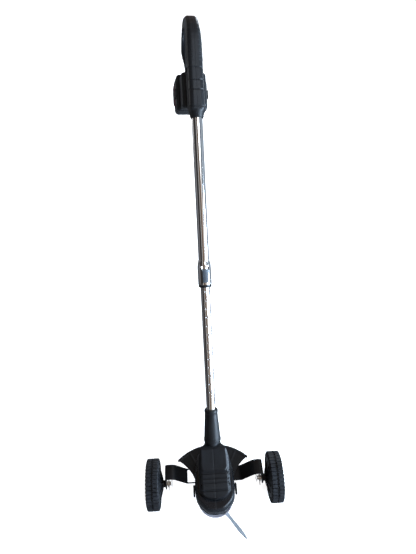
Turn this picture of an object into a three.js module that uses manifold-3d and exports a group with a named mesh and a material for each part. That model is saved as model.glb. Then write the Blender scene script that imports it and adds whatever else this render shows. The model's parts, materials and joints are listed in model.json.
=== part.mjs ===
// A cordless grass trimmer with a telescopic pole and two carrying wheels.
// Millimetres, +Z up. The origin is on the cutter's spindle axis, on the underside of the
// nut that holds the cutter. +X is to the operator's left as they face the cutter from
// the handle, the nose of the head points to -Y and the pole leans back towards +Y.
// Left and right in the names are as seen from in front of the nose, so left is -X.
import * as THREE from "three";
import { mergeVertices } from "three/addons/utils/BufferGeometryUtils.js";
import Module from "manifold-3d";

const wasm = await Module();
wasm.setup();

// Driving dimensions.
const GAP = 0.3; // left between pieces that touch
const POLE_ANGLE = 49; // degrees between the pole and the ground
const HANDLE_TURN = 8; // degrees of slack that the handle takes up on the pole
const OUTER_TUBE_R = 12.7;
const INNER_TUBE_R = 11.1;
const TUBE_WALL = 1;
const PITCH = 20.3; // between the detents of the inner tube
const DETENTS = 15;
const WHEEL_R = 60;
const WHEEL_WIDTH = 32;
const TRACK = 300; // between the middles of the two tyres
const AXLE_R = 5;
const CUTTER_R = 43; // the disc that carries the blade
const BLADE_TIP_R = 118;
const SPINDLE_Y = -18; // the spindle, from where the pole's axis meets the cutter's plane

// Stations along the pole, measured from the spindle axis.
const pole = {
  tubeFoot: 112,
  bootFoot: 129.5,
  bootTop: 214,
  firstDetent: 259,
  ringFoot: 513,
  sleeveFoot: 519,
  sleeveTop: 577,
  innerTop: 663,
  handle: 900,
  outerTop: 969,
};

// Heights of the stack of pieces around the cutter.
const level = {
  nutTop: 3,
  discLow: 5,
  discTop: 8,
  bracket: 14.7,
  guard: 18,
  housing: 21.3,
  split: 50, // between the head's lower housing and its upper cover
};
const SHEET = 3; // thickness of the bracket and of the guard
const axle = { y: 21, z: 20 };
const bracket = { front: 18.8, back: 54.8, crease: 66, crest: 98, crestTop: 52, flange: 117.5 };

const colour = {
  shell: ["#17181b", 0.45, 0],
  grip: ["#101113", 0.7, 0],
  chrome: ["#c9c6c2", 0.12, 1],
  zinc: ["#b9b4aa", 0.35, 1],
  paint: ["#0d0e10", 0.4, 0.2],
  tyre: ["#1b1c20", 0.85, 0],
  steel: ["#8f9196", 0.3, 1],
  accent: ["#7c1f2a", 0.45, 0],
  blade: ["#9aa7b3", 0.4, 0],
  disc: ["#a7a6ad", 0.5, 0],
  brass: ["#b08d4a", 0.35, 1],
};
const materials = Object.fromEntries(
  Object.entries(colour).map(([name, [color, roughness, metalness]]) => [
    name,
    new THREE.MeshStandardMaterial({ color, roughness, metalness }),
  ]),
);

// ---- Solids: three.js shapes them, manifold-3d joins and cuts them.

function solid(geometry) {
  const bare = geometry.index ? geometry.toNonIndexed() : geometry.clone();
  bare.deleteAttribute("normal");
  bare.deleteAttribute("uv");
  const merged = mergeVertices(bare, 1e-5);
  const triVerts = new Uint32Array(merged.index.array);
  const build = () =>
    new wasm.Manifold(
      new wasm.Mesh({
        numProp: 3,
        vertProperties: merged.attributes.position.array,
        triVerts,
      }),
    );
  const made = build();
  if (made.volume() > 0) return made;
  for (let i = 0; i < triVerts.length; i += 3)
    [triVerts[i + 1], triVerts[i + 2]] = [triVerts[i + 2], triVerts[i + 1]];
  return build();
}

function geometryOf(body) {
  const { numProp, vertProperties, triVerts } = body.getMesh();
  const geometry = new THREE.BufferGeometry();
  const count = vertProperties.length / numProp;
  const position = new Float32Array(3 * count);
  for (let i = 0; i < count; i++)
    position.set(vertProperties.subarray(i * numProp, i * numProp + 3), 3 * i);
  geometry.setAttribute("position", new THREE.BufferAttribute(position, 3));
  geometry.setIndex(new THREE.BufferAttribute(new Uint32Array(triVerts), 1));
  geometry.computeVertexNormals();
  return geometry;
}

const join = (first, ...rest) => rest.reduce((all, next) => all.add(next), first);
const cut = (first, ...rest) => rest.reduce((left, next) => left.subtract(next), first);

function moved(geometry, x = 0, y = 0, z = 0) {
  return geometry.translate(x, y, z);
}

// A box given by its low and high corners.
function box([x0, y0, z0], [x1, y1, z1]) {
  const geometry = new THREE.BoxGeometry(x1 - x0, y1 - y0, z1 - z0);
  return solid(moved(geometry, (x0 + x1) / 2, (y0 + y1) / 2, (z0 + z1) / 2));
}

const turnTo = {
  x: (geometry) => geometry.rotateZ(-Math.PI / 2), // the geometry's own Y becomes +X
  y: (geometry) => geometry,
  z: (geometry) => geometry.rotateX(Math.PI / 2), // its own Y becomes +Z
};

// A round bar along an axis, from low to high, through the point at.
function rod(axis, radius, low, high, at = [0, 0, 0], sides = 24) {
  const geometry = new THREE.CylinderGeometry(radius, radius, high - low, sides);
  const turned = turnTo[axis](moved(geometry, 0, (low + high) / 2, 0));
  return solid(moved(turned, ...at));
}

// A closed profile of [radius, height] points turned about an axis.
function turned(axis, profile, at = [0, 0, 0], sides = 28) {
  const points = profile.map(([r, h]) => new THREE.Vector2(r, h));
  const onAxis = profile[0][0] === 0 && profile.at(-1)[0] === 0;
  if (!onAxis) points.push(points[0].clone());
  const geometry = new THREE.LatheGeometry(points, sides);
  return solid(moved(turnTo[axis](geometry), ...at));
}

// An outline of [x, y, corner radius] points.
function outline(points) {
  const shape = new THREE.Shape();
  const at = (i) => points[(i + points.length) % points.length];
  points.forEach(([x, y, radius = 0], i) => {
    const toward = ([tx, ty]) => {
      const length = Math.hypot(tx - x, ty - y);
      const share = Math.min(radius / length, 0.48); // two corners share an edge
      return [x + (tx - x) * share, y + (ty - y) * share];
    };
    const start = radius ? toward(at(i - 1)) : [x, y];
    if (i) shape.lineTo(...start);
    else shape.moveTo(...start);
    if (radius) shape.quadraticCurveTo(x, y, ...toward(at(i + 1)));
  });
  return shape;
}

// The outline of the same points with every edge moved inwards.
function inset(points, by) {
  const at = (i) => points[(i + points.length) % points.length];
  const area = points.reduce((sum, [x, y], i) => sum + x * at(i + 1)[1] - y * at(i + 1)[0], 0);
  const inward = Math.sign(area);
  const normal = ([x0, y0], [x1, y1]) => {
    const length = Math.hypot(x1 - x0, y1 - y0);
    return [(-(y1 - y0) * inward) / length, ((x1 - x0) * inward) / length];
  };
  return points.map(([x, y, radius = 0], i) => {
    const [ax, ay] = normal(at(i - 1), at(i));
    const [bx, by2] = normal(at(i), at(i + 1));
    const shift = by / (1 + ax * bx + ay * by2);
    const convex = (ax * by2 - ay * bx) * inward > 0;
    const corner = convex ? Math.max(radius - by, 1) : radius + by;
    return [x + (ax + bx) * shift, y + (ay + by2) * shift, radius ? corner : 0];
  });
}

// The same outline with every point repeated on the other side of its second axis.
const mirrored = (points) => [
  ...points,
  ...points
    .filter(([x]) => x > 0)
    .reverse()
    .map(([x, y, r]) => [-x, y, r]),
];

// Extrudes an outline from low to high; rounding takes the edges off inside its limits.
function extruded(points, low, high, rounding = 0, curveSegments = 4) {
  const shape = outline(inset(points, rounding));
  const geometry = new THREE.ExtrudeGeometry(shape, {
    depth: high - low - 2 * rounding,
    curveSegments,
    bevelEnabled: rounding > 0,
    bevelThickness: rounding,
    bevelSize: rounding,
    bevelSegments: 2,
  });
  return moved(geometry, 0, 0, low + rounding);
}

const axes = (x, y, z) =>
  new THREE.Matrix4().makeBasis(
    new THREE.Vector3(...x),
    new THREE.Vector3(...y),
    new THREE.Vector3(...z),
  );
// A shape drawn in Y and Z, extruded along X.
const SIDE = axes([0, 1, 0], [0, 0, 1], [1, 0, 0]);
// A shape drawn in X and Z, extruded along Y.
const FRONT = axes([1, 0, 0], [0, 0, 1], [0, -1, 0]);
// In the pole's frame: drawn along the pole and up from it, extruded along X.
const ALONG = axes([0, 0, 1], [0, -1, 0], [1, 0, 0]);

const plate = (shape, low, high, rounding) => solid(extruded(shape, low, high, rounding));
const side = (shape, low, high, rounding) =>
  solid(extruded(shape, low, high, rounding).applyMatrix4(SIDE));
const front = (shape, low, high, rounding) =>
  solid(extruded(shape, -high, -low, rounding).applyMatrix4(FRONT));
const along = (shape, low, high, rounding) =>
  solid(extruded(shape, low, high, rounding).applyMatrix4(ALONG));

// ---- The scene graph.

const model = new THREE.Group();
const machine = new THREE.Group(); // its Y is measured from the foot of the pole's axis
machine.position.y = -SPINDLE_Y;
model.add(machine);

// The pole's frame: its Z runs up the pole, its -Y is the side that faces up and forwards.
const poleFrame = new THREE.Group();
poleFrame.rotation.x = THREE.MathUtils.degToRad(POLE_ANGLE - 90);
poleFrame.updateMatrix();

const sliding = new THREE.Group(); // what turns with the handle, up to the sleeve
sliding.rotation.z = THREE.MathUtils.degToRad(HANDLE_TURN);

const handle = new THREE.Group();
handle.position.z = pole.handle;

machine.add(poleFrame);
poleFrame.add(sliding);
sliding.add(handle);

function add(group, name, material, body) {
  const mesh = new THREE.Mesh(geometryOf(body), materials[material]);
  mesh.name = name;
  group.add(mesh);
}

// A screw along an axis, from the face of its head to the tip of its shank.
function screw(axis, head, tip, headR, headH, shankR, at) {
  const neck = head + headH * Math.sign(tip - head);
  const profile = [
    [0, head],
    [headR, head],
    [headR, neck],
    [shankR, neck],
    [shankR, tip],
    [0, tip],
  ];
  return turned(axis, profile, at, 10);
}

const SIDES = [
  ["left", -1],
  ["right", 1],
];

// ---- Tubes and telescopic lock.

function tubes() {
  const detent = () => new THREE.OctahedronGeometry(2.6).scale(1, 0.5, 1.15);
  let inner = cut(
    rod("z", INNER_TUBE_R, pole.tubeFoot, pole.innerTop, [0, 0, 0], 32),
    rod("z", INNER_TUBE_R - TUBE_WALL, pole.tubeFoot - 1, pole.innerTop + 1, [0, 0, 0], 32),
    rod("y", 2.2, 0, 20, [0, 0, neckScrewAt], 12),
  );
  for (let i = 0; i < DETENTS; i++) {
    const dent = moved(detent(), 0, -INNER_TUBE_R - 0.3, pole.firstDetent + i * PITCH);
    inner = inner.subtract(solid(dent));
  }
  add(poleFrame, "inner_tube", "chrome", inner);

  const plug = INNER_TUBE_R - TUBE_WALL - GAP;
  const top = pole.innerTop + GAP;
  const bush = [
    [6, top - 14],
    [plug, top - 14],
    [plug, top],
    [INNER_TUBE_R + GAP, top],
    [INNER_TUBE_R + GAP, top + 12],
    [6, top + 12],
  ];
  add(poleFrame, "tube_bush", "grip", turned("z", bush));

  const bore = OUTER_TUBE_R - TUBE_WALL;
  const outer = cut(
    rod("z", OUTER_TUBE_R, pole.sleeveFoot + 4, pole.outerTop, [0, 0, 0], 32),
    rod("z", bore, pole.sleeveFoot, pole.outerTop + 1, [0, 0, 0], 32),
    box([-2.5, -20, lock.slotFoot], [2.5, 0, lock.slotTop]), // the slot that the lock's pawl works through
  );
  add(sliding, "outer_tube", "chrome", outer);
}

const lock = { buttonFoot: 525, buttonTop: 556, windowTop: 563, slotFoot: 536, slotTop: 552 };
const neckScrewAt = 165; // station of the screw that pins the tube in the boot

// The lock's button and the window it slides in share one tapered outline.
const lockWindow = (margin, top) => [
  [-6.4 - margin, lock.buttonFoot - margin, 1],
  [6.4 + margin, lock.buttonFoot - margin, 1],
  [8.6 + margin, top, 1],
  [-8.6 - margin, top, 1],
];

function telescopicLock() {
  const bore = OUTER_TUBE_R + GAP;
  const profile = [
    [bore, pole.sleeveFoot],
    [15.6, pole.sleeveFoot],
    [16.1, pole.sleeveFoot + 2],
    [16.1, pole.sleeveTop - 13],
    [13.7, pole.sleeveTop - 3],
    [13.6, pole.sleeveTop],
    [bore, pole.sleeveTop],
  ];
  const facing = (shape, low, high) => solid(extruded(shape, low, high).applyMatrix4(FRONT));
  const window = facing(lockWindow(0.5, lock.windowTop), 5, 30);
  add(sliding, "lock_sleeve", "chrome", cut(turned("z", profile, [0, 0, 0], 32), window));

  const cap = [
    [bore + 0.2, 500],
    [17.4, 500],
    [17.4, 570],
    [bore + 0.2, 570],
  ];
  const button = turned("z", cap, [0, 0, 0], 36).intersect(facing(lockWindow(0, lock.buttonTop), 5, 30));
  add(sliding, "lock_button", "shell", button);

  const ring = [
    [INNER_TUBE_R + GAP, pole.ringFoot],
    [14.6, pole.ringFoot],
    [15.4, pole.ringFoot + 1],
    [15.4, pole.sleeveFoot - GAP],
    [INNER_TUBE_R + GAP, pole.sleeveFoot - GAP],
  ];
  add(sliding, "lock_ring", "shell", turned("z", ring));
}

// ---- Neck: the boot that joins the pole to the head.

const boot = { footR: 20.5, topR: 15.6, lipR: 16.6, spigotR: 17, spigot: 25 };

function neck() {
  const bore = INNER_TUBE_R + GAP;
  const profile = [
    [bore, pole.bootFoot - boot.spigot],
    [boot.spigotR, pole.bootFoot - boot.spigot],
    [boot.spigotR, pole.bootFoot],
    [boot.footR, pole.bootFoot],
    [boot.topR, pole.bootTop - 8],
    [boot.lipR, pole.bootTop - 6],
    [boot.lipR, pole.bootTop - 1.5],
    [boot.lipR - 1.2, pole.bootTop],
    [bore, pole.bootTop],
  ];
  const body = cut(
    turned("z", profile, [0, 0, 0], 28),
    rod("y", 2.2, 0, 30, [0, 0, neckScrewAt], 12),
    rod("y", 4, 15.6, 30, [0, 0, neckScrewAt], 16),
  );
  add(poleFrame, "neck_boot", "grip", body);
  const pin = screw("y", 18, 8, 3.6, 2.1, 1.9, [0, 0, neckScrewAt]);
  add(poleFrame, "neck_screw", "zinc", pin);
}

// ---- Handle: two shells, trigger, lock-off button and battery.
// Its outlines are drawn along the pole from the collar's mouth, and up from the pole's axis.

const HANDLE_HALF = 18.5;
const SHOE_HALF = 30;
const trigger = { low: 124, high: 152, foot: -36, top: -9, travel: 6 };
const battery = { low: 33, high: 118, top: -57, foot: -108, half: 39 };
const RAIL = { neck: 20, lip: 26, shoeFoot: -56, lipTop: -44, lipFoot: -50, end: 104 };

const handleOutline = [
  [12, 19, 6],
  [196, 17, 34],
  [232, -14, 24],
  [246, -62, 30],
  [216, -98, 24],
  [170, -94, 16],
  [130, -52, 12],
  [114, -40, 4],
  [30, -30, 12],
  [12, -19, 6],
];
const fingerHole = [
  [124, -17, 10],
  [198, -17, 24],
  [218, -45, 20],
  [206, -74, 16],
  [176, -74, 12],
  [124, -30, 6],
];
const shoeOutline = [
  [30, -18, 8],
  [110, -18, 8],
  [110, RAIL.shoeFoot, 5],
  [30, RAIL.shoeFoot, 5],
];
const handleScrews = [
  [90, 4],
  [42, -34],
  [220, -18],
  [212, -88],
];

function handleBody() {
  const collar = [
    [OUTER_TUBE_R + GAP, 0],
    [15.2, 0],
    [19, 16],
    [19, 30],
    [OUTER_TUBE_R + GAP, 30],
  ];
  const hidden = pole.outerTop - pole.handle + GAP;
  const rail = join(
    box([-RAIL.neck - GAP, -RAIL.lipFoot, -5], [RAIL.neck + GAP, 70, RAIL.end + GAP]),
    box(
      [-RAIL.lip - GAP, -RAIL.lipTop - GAP, -5],
      [RAIL.lip + GAP, -RAIL.lipFoot + GAP, RAIL.end + GAP],
    ),
  );
  let body = cut(
    join(
      cut(along(handleOutline, -HANDLE_HALF, HANDLE_HALF, 9), along(fingerHole, -30, 30)),
      along(shoeOutline, -SHOE_HALF, SHOE_HALF, 7),
      turned("z", collar),
    ),
    rod("z", OUTER_TUBE_R + GAP, -1, hidden, [0, 0, 0], 32),
    rail,
    box([-10, -14, 118], [10, 32, 156]), // switch and trigger chamber
    box([-8, 12, 114], [8, 30, 158]),
    box([-6, -6, 74], [6, 30, 119]), // wiring channel
    rod("x", 5, -30, 30, [0, 6, 108], 20), // lock-off button
  );
  for (const [w, h] of handleScrews) {
    body = cut(
      body,
      rod("x", 1.6, -12, 40, [0, -h, w], 12),
      rod("x", 3.4, 13, 40, [0, -h, w], 16),
    );
  }
  return body;
}

function handleShells() {
  const body = handleBody();
  for (const [name, sign] of SIDES) {
    const half = box([sign < 0 ? -60 : GAP / 2, -60, -20], [sign < 0 ? -GAP / 2 : 60, 130, 260]);
    add(handle, `handle_shell_${name}`, "shell", body.intersect(half));
  }
  handleScrews.forEach(([w, h], i) => {
    const body = screw("x", 15.6, -11, 3, 2.3, 1.3, [0, -h, w]);
    add(handle, `handle_screw_${i + 1}`, "zinc", body);
  });
}

function controls() {
  const shape = [
    [trigger.low, trigger.top, 1],
    [trigger.high, trigger.top, 1],
    [trigger.high, -18, 3],
    [trigger.high - 8, trigger.foot + 6, 8],
    [trigger.low + 10, trigger.foot, 5],
  ];
  add(handle, "trigger", "shell", along(shape, -7, 7, 2));
  add(handle, "switch", "grip", box([-7, -12, 124], [7, 1, 150]));
  const pin = rod("x", 4.7, -20.5, 20.5, [0, 6, 108], 20);
  add(handle, "lock_off_button", "accent", pin);
  const contacts = join(
    box([-14, 44.6, 98.5], [14, 49.6, 103.8]),
    box([-9, 45, 86], [-7.4, 49.2, 99]),
    box([7.4, 45, 86], [9, 49.2, 99]),
  );
  add(handle, "battery_contacts", "brass", contacts);
}

function batteryPack() {
  const plan = mirrored([
    [36, -battery.low, 7],
    [battery.half, -48, 10],
    [battery.half, -98, 10],
    [34, -battery.high, 7],
  ]);
  // Drawn in X and along the pole, extruded down from the pole.
  const down = axes([1, 0, 0], [0, 0, -1], [0, 1, 0]);
  const block = solid(extruded(plan, -battery.top, -battery.foot, 8).applyMatrix4(down));
  const rail = join(
    box([-RAIL.neck, -RAIL.lipFoot - 1, battery.low + 4], [RAIL.neck, 66, RAIL.end - 6]),
    box([-RAIL.lip, -RAIL.lipTop, battery.low + 4], [RAIL.lip, -RAIL.lipFoot, RAIL.end - 6]),
  );
  const slots = SIDES.map(([, sign]) =>
    box([sign * 8.2 - 1.4, 40, 85], [sign * 8.2 + 1.4, 49.6, 106]),
  );
  const pockets = SIDES.map(([, sign]) =>
    box([sign * 36.4 - 5.6, 60, 62], [sign * 36.4 + 5.6, 73, 82]),
  );
  const pads = SIDES.map(([, sign]) => box([sign * 41 - 4, 76, 44], [sign * 41 + 4, 101, 103]));
  add(handle, "battery_case", "shell", cut(join(block, rail), ...slots, ...pockets, ...pads));
  for (const [name, sign] of SIDES) {
    const latch = box([sign * 37.3 - 3.4, 60.5, 62.5], [sign * 37.3 + 3.4, 72.5, 81.5]);
    add(handle, `battery_latch_${name}`, "grip", latch);
    const edge = [
      [48, -77, 6],
      [99, -77, 8],
      [92, -100, 8],
      [55, -100, 8],
    ];
    const low = sign < 0 ? -40.6 : 37.3;
    add(handle, `battery_pad_${name}`, "accent", along(edge, low, low + 3.3, 1));
  }
}

// ---- Head: housing, cover, motor, guard and bracket.

const plan = mirrored([
  [0, -58.5, 0],
  [20, -56, 14],
  [45, -33, 24],
  [48, 2, 24],
  [47, 36, 20],
  [40, 74, 18],
  [30, 90, 8],
]);
const coverPlan = mirrored([
  [0, -35, 0],
  [24, -31, 10],
  [42, -12, 12],
  [44, 10, 20],
  [38, 44, 20],
  [30, 70, 8],
  [20, 81, 4],
  [19, 102, 4],
]);
const coverSide = [
  [-64, 20, 0],
  [-64, 50, 0],
  [-24, 67, 12],
  [20, 82, 8],
  [50, 97, 10],
  [69, 109, 2],
  [101, 82, 3],
  [92, 20, 0],
];
const guardScrews = [
  [-26, 74],
  [26, 74],
];
const bracketScrews = [
  [-30, 28],
  [30, 28],
  [-30, 46],
  [30, 46],
];
const coverScrews = [
  [-33, -6],
  [33, -6],
];
const motorR = 15.5;
const motorTop = 48.9; // just under the split
const spindle = [0, SPINDLE_Y, 0];

function poleHole(radius, low, high) {
  const geometry = turnTo.z(new THREE.CylinderGeometry(radius, radius, high - low, 32));
  return solid(moved(geometry, 0, 0, (low + high) / 2).applyMatrix4(poleFrame.matrix));
}

function headShells() {
  const drilled = (points, radius) =>
    points.map(([x, y]) => rod("z", radius, 0, 80, [x, y, 0], 12));
  const inside = [
    rod("z", motorR + GAP, level.housing + 3, motorTop + 1, spindle, 28),
    box([-24, -4, level.housing + 3], [24, 70, 66]),
    poleHole(boot.spigotR + GAP, pole.bootFoot - boot.spigot - 3, pole.bootFoot + 10),
  ];
  const dome = solid(extruded(plan, 5, level.split + 5, 15));
  const lower = cut(
    join(dome, rod("z", 14, 10, level.housing + 2, spindle)),
    cut(box([-80, -80, 0], [80, 120, level.housing]), rod("z", 14, 10, 30, spindle)),
    box([-80, -80, level.split - GAP], [80, 120, 70]),
    rod("z", 4.6, 0, 40, spindle),
    ...inside,
    ...drilled(guardScrews, 1.9),
    ...drilled(bracketScrews, 2.2),
    ...drilled(coverScrews, 1.9),
    ...coverScrews.map(([x, y]) => rod("z", 3.6, 0, 24.5, [x, y, 0], 16)),
  );
  add(machine, "lower_housing", "shell", lower);

  const top = side(coverSide, -38, 38, 9);
  const cover = cut(
    top.intersect(plate(coverPlan, level.split, 140)),
    ...inside,
    ...drilled(coverScrews, 1.9),
    ...drilled(guardScrews, 1.9),
  );
  add(machine, "upper_cover", "shell", cover);
}

function motor() {
  const can = cut(
    turned("z", [
      [0, level.housing + 3.4],
      [motorR - 1, level.housing + 3.4],
      [motorR, level.housing + 4.4],
      [motorR, motorTop - 2],
      [motorR - 2, motorTop],
      [0, motorTop],
    ]),
    rod("z", 4.4, 20, 43),
  );
  add(model, "motor", "steel", can);
  add(model, "motor_shaft", "steel", rod("z", 4, level.nutTop + GAP, 42));
  const nut = rod("z", 8, 0, level.nutTop, [0, 0, 0], 6);
  add(model, "cutter_nut", "zinc", nut);
}

const BLADE_ANGLE = THREE.MathUtils.degToRad(-53.5);
const BLADE_PIVOT_R = 35;

function cutter() {
  const disc = turned("z", [
    [4.3, level.nutTop + GAP],
    [11, level.nutTop + GAP],
    [11, level.discLow],
    [CUTTER_R - 1, level.discLow],
    [CUTTER_R, level.discLow + 1],
    [CUTTER_R, level.discTop + 1],
    [CUTTER_R - 2, level.discTop + 1],
    [CUTTER_R - 3, level.discTop],
    [10, level.discTop],
    [9, 9.6],
    [4.3, 9.6],
  ], [0, 0, 0], 36);
  const reach = BLADE_TIP_R - BLADE_PIVOT_R;
  const shape = [
    [-7, -5, 5],
    [6, -5, 6],
    [20, -3.4, 10],
    [reach * 0.72, -5.4, 14],
    [reach, 0, 1],
    [reach * 0.72, 4.6, 14],
    [20, 3.4, 10],
    [6, 5, 6],
    [-7, 5, 5],
  ];
  const blade = cut(plate(shape, 2, 4.6), rod("z", 2.7, 0, 9, [0, 0, 0], 16));
  const pin = turned("z", [
    [0, 0.3],
    [4.6, 0.3],
    [4.6, 1.7],
    [2.4, 1.7],
    [2.4, level.discTop + GAP],
    [4.2, level.discTop + GAP],
    [4.2, level.discTop + 1.6],
    [0, level.discTop + 1.6],
  ], [0, 0, 0], 16);

  const carrier = new THREE.Group();
  carrier.rotation.z = BLADE_ANGLE;
  model.add(carrier);
  const pivot = [BLADE_PIVOT_R, 0, 0];
  add(carrier, "cutter_disc", "disc", cut(disc, rod("z", 2.7, 0, 12, pivot, 16)));
  const pivotFrame = new THREE.Group();
  pivotFrame.position.set(...pivot);
  carrier.add(pivotFrame);
  add(pivotFrame, "blade", "blade", blade);
  add(pivotFrame, "blade_pin", "zinc", pin);
}

const guard = { r: 130, tipX: 89.5, front: 17, skirt: 2.5 };

function guardPlate() {
  const { r, tipX, front: foot } = guard;
  const start = Math.acos(tipX / r);
  const rim = (radius, from, to, steps) =>
    Array.from({ length: steps + 1 }, (_, i) => {
      const angle = from + ((to - from) * i) / steps;
      return [radius * Math.cos(angle), SPINDLE_Y + radius * Math.sin(angle)];
    });
  const leading = new THREE.QuadraticBezierCurve(
    new THREE.Vector2(45, foot),
    new THREE.Vector2(54, 54),
    new THREE.Vector2(tipX, SPINDLE_Y + r * Math.sin(start)),
  );
  const edge = leading.getPoints(8).map(({ x, y }) => [x, y]);
  const arc = rim(r, start, Math.PI - start, 20).slice(1, -1);
  const shape = [...edge, ...arc, ...edge.toReversed().map(([x, y]) => [-x, y])];
  const band = [
    ...rim(r, start, Math.PI - start, 20),
    ...rim(r - guard.skirt, Math.PI - start, start, 20),
  ];
  const holes = [...guardScrews, ...bracketScrews].map(([x, y]) =>
    rod("z", 2.2, 0, 40, [x, y, 0], 12),
  );
  const sheet = plate(shape, level.guard, level.guard + SHEET);
  const skirt = plate(band, 9.8, level.guard + 1);
  add(machine, "guard", "shell", cut(join(sheet, skirt), ...holes));
  guardScrews.forEach(([x, y], i) => {
    const body = screw("z", level.guard - 2.6, 58, 3.6, 2.3, 1.6, [x, y, 0]);
    add(machine, `guard_screw_${i + 1}`, "zinc", body);
  });
  coverScrews.forEach(([x, y], i) => {
    const body = screw("z", level.housing + 0.3, 60, 3.3, 2.6, 1.6, [x, y, 0]);
    add(machine, `cover_screw_${i + 1}`, "zinc", body);
  });
}

function wheelBracket() {
  const { crease, crest, crestTop, flange } = bracket;
  const low = level.bracket;
  const top = low + SHEET;
  const strap = [
    [-flange - SHEET, 38, 0],
    [-flange - SHEET, crestTop, 8],
    [-crest, crestTop, 8],
    [-crease, top, 4],
    [crease, top, 4],
    [crest, crestTop, 8],
    [flange + SHEET, crestTop, 8],
    [flange + SHEET, 38, 0],
    [flange, 38, 0],
    [flange, crestTop - SHEET, 5],
    [crest + 2, crestTop - SHEET, 8],
    [crease + 2, low, 4],
    [-crease - 2, low, 4],
    [-crest - 2, crestTop - SHEET, 8],
    [-flange, crestTop - SHEET, 5],
    [-flange, 38, 0],
  ];
  const lobe = [
    [bracket.back, 40, 0],
    [bracket.back, 30, 12],
    [axle.y + 13, axle.z - 13, 14],
    [axle.y - 13, axle.z - 13, 12],
    [axle.y - 13, axle.z + 12, 12],
    [bracket.front, 40, 0],
  ];
  const lobes = SIDES.map(([, sign]) => {
    const inner = sign < 0 ? -flange - SHEET : flange;
    return side(lobe, inner, inner + SHEET);
  });
  const body = cut(
    join(front(strap, bracket.front, bracket.back), ...lobes),
    box([-crease, bracket.front + 3, 0], [-44, bracket.back - 3, 30]), // window
    ...SIDES.map(([, sign]) => {
      const ends = [sign * (flange - 1), sign * (flange + SHEET + 1)].sort((a, b) => a - b);
      return rod("x", AXLE_R + GAP, ...ends, [0, axle.y, axle.z]);
    }),
    ...bracketScrews.map(([x, y]) => rod("z", 2.4, 0, 30, [x, y, 0], 12)),
  );
  add(machine, "wheel_bracket", "paint", body);
  bracketScrews.forEach(([x, y], i) => {
    const body = screw("z", low - 2.9, 36, 4, 2.6, 1.9, [x, y, 0]);
    add(machine, `bracket_screw_${i + 1}`, "zinc", body);
  });
}

// ---- Wheels: each spins on a stub axle held in the bracket's flange by a hairpin clip.

const clipX = bracket.flange - 6;

function hairpin() {
  const wire = new THREE.Shape();
  wire.absarc(0, 0, 1.1, 0, 2 * Math.PI, false);
  const V = (x, y) => new THREE.Vector3(x, y, 0);
  const points = [V(0, -18), V(0, 8), V(0, 13), V(-3, 18), V(-8, 18)];
  points.push(V(-10.5, 14), V(-8, 9.5), V(-6, 4), V(-9.5, 0), V(-6, -5), V(-8, -9));
  const path = new THREE.CatmullRomCurve3(points, false, "catmullrom", 0.4);
  return new THREE.ExtrudeGeometry(wire, {
    steps: 26,
    curveSegments: 2,
    bevelEnabled: false,
    extrudePath: path,
  });
}

function wheel(name, sign) {
  const mid = TRACK / 2;
  const face = mid - WHEEL_WIDTH / 2;
  const outer = mid + WHEEL_WIDTH / 2;
  const boss = bracket.flange + SHEET + GAP;
  const group = new THREE.Group();
  group.position.set(0, axle.y, axle.z);
  if (sign < 0) group.rotation.z = Math.PI;
  machine.add(group);

  const rim = [
    [AXLE_R + 0.05, boss],
    [8, boss],
    [9, boss + 7.5],
    [42, face + 1],
    [47, face + 2],
    [47, outer - 2],
    [44, outer - 2],
    [43, mid + 2],
    [13, mid - 1],
    [11, outer - 1.5],
    [AXLE_R + 0.05, outer - 1.5],
  ];
  add(group, `wheel_hub_${name}`, "shell", turned("x", rim, [0, 0, 0], 28));
  const tyre = [
    [47 + GAP, face + 1],
    [53, face],
    [WHEEL_R - 2.5, face + 1],
    [WHEEL_R, face + 4],
    [WHEEL_R, outer - 4],
    [WHEEL_R - 2.5, outer - 1],
    [53, outer],
    [47 + GAP, outer - 1],
  ];
  add(group, `tyre_${name}`, "tyre", turned("x", tyre, [0, 0, 0], 36));

  const pin = turned("x", [
    [0, clipX - 5],
    [AXLE_R - 1, clipX - 5],
    [AXLE_R, clipX - 4],
    [AXLE_R, outer - 1],
    [9, outer - 1],
    [9, outer + 1],
    [7.5, outer + 2.5],
    [0, outer + 2.5],
  ], [0, 0, 0], 24);
  add(group, `axle_${name}`, "zinc", cut(pin, rod("y", 1.5, -10, 10, [clipX, 0, 0], 10)));
  const washer = [
    [AXLE_R + GAP, clipX + 1.4],
    [9, clipX + 1.4],
    [9, clipX + 3],
    [AXLE_R + GAP, clipX + 3],
  ];
  add(group, `axle_washer_${name}`, "zinc", turned("x", washer, [0, 0, 0], 24));
  // Both clips point their free ends forwards, so the turned group mirrors one of them.
  const clip = hairpin();
  if (sign < 0) clip.rotateX(Math.PI);
  add(group, `hairpin_${name}`, "zinc", solid(moved(clip, clipX, 0, 0)));
}

function sideClips() {
  for (const [name, sign] of SIDES) {
    const shape = [
      [-18, 24, 3],
      [8, 24, 3],
      [8, 38, 4],
      [-18, 38, 4],
    ];
    const low = sign < 0 ? -53 : 48.3;
    add(machine, `side_clip_${name}`, "grip", side(shape, low, low + 4.7, 1));
  }
}

tubes();
telescopicLock();
neck();
handleShells();
controls();
batteryPack();
headShells();
motor();
cutter();
guardPlate();
wheelBracket();
sideClips();
for (const [name, sign] of SIDES) wheel(name, sign);

export default model;
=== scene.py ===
# A cordless grass trimmer with a telescopic chromed pole and two carrying wheels.
# Lengths in the shape code are millimetres in one of the local frames below; MM turns them
# into metres in the row frame.
import json
import math

import bmesh
import bpy
import numpy as np
from mathutils import Matrix, Vector


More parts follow.
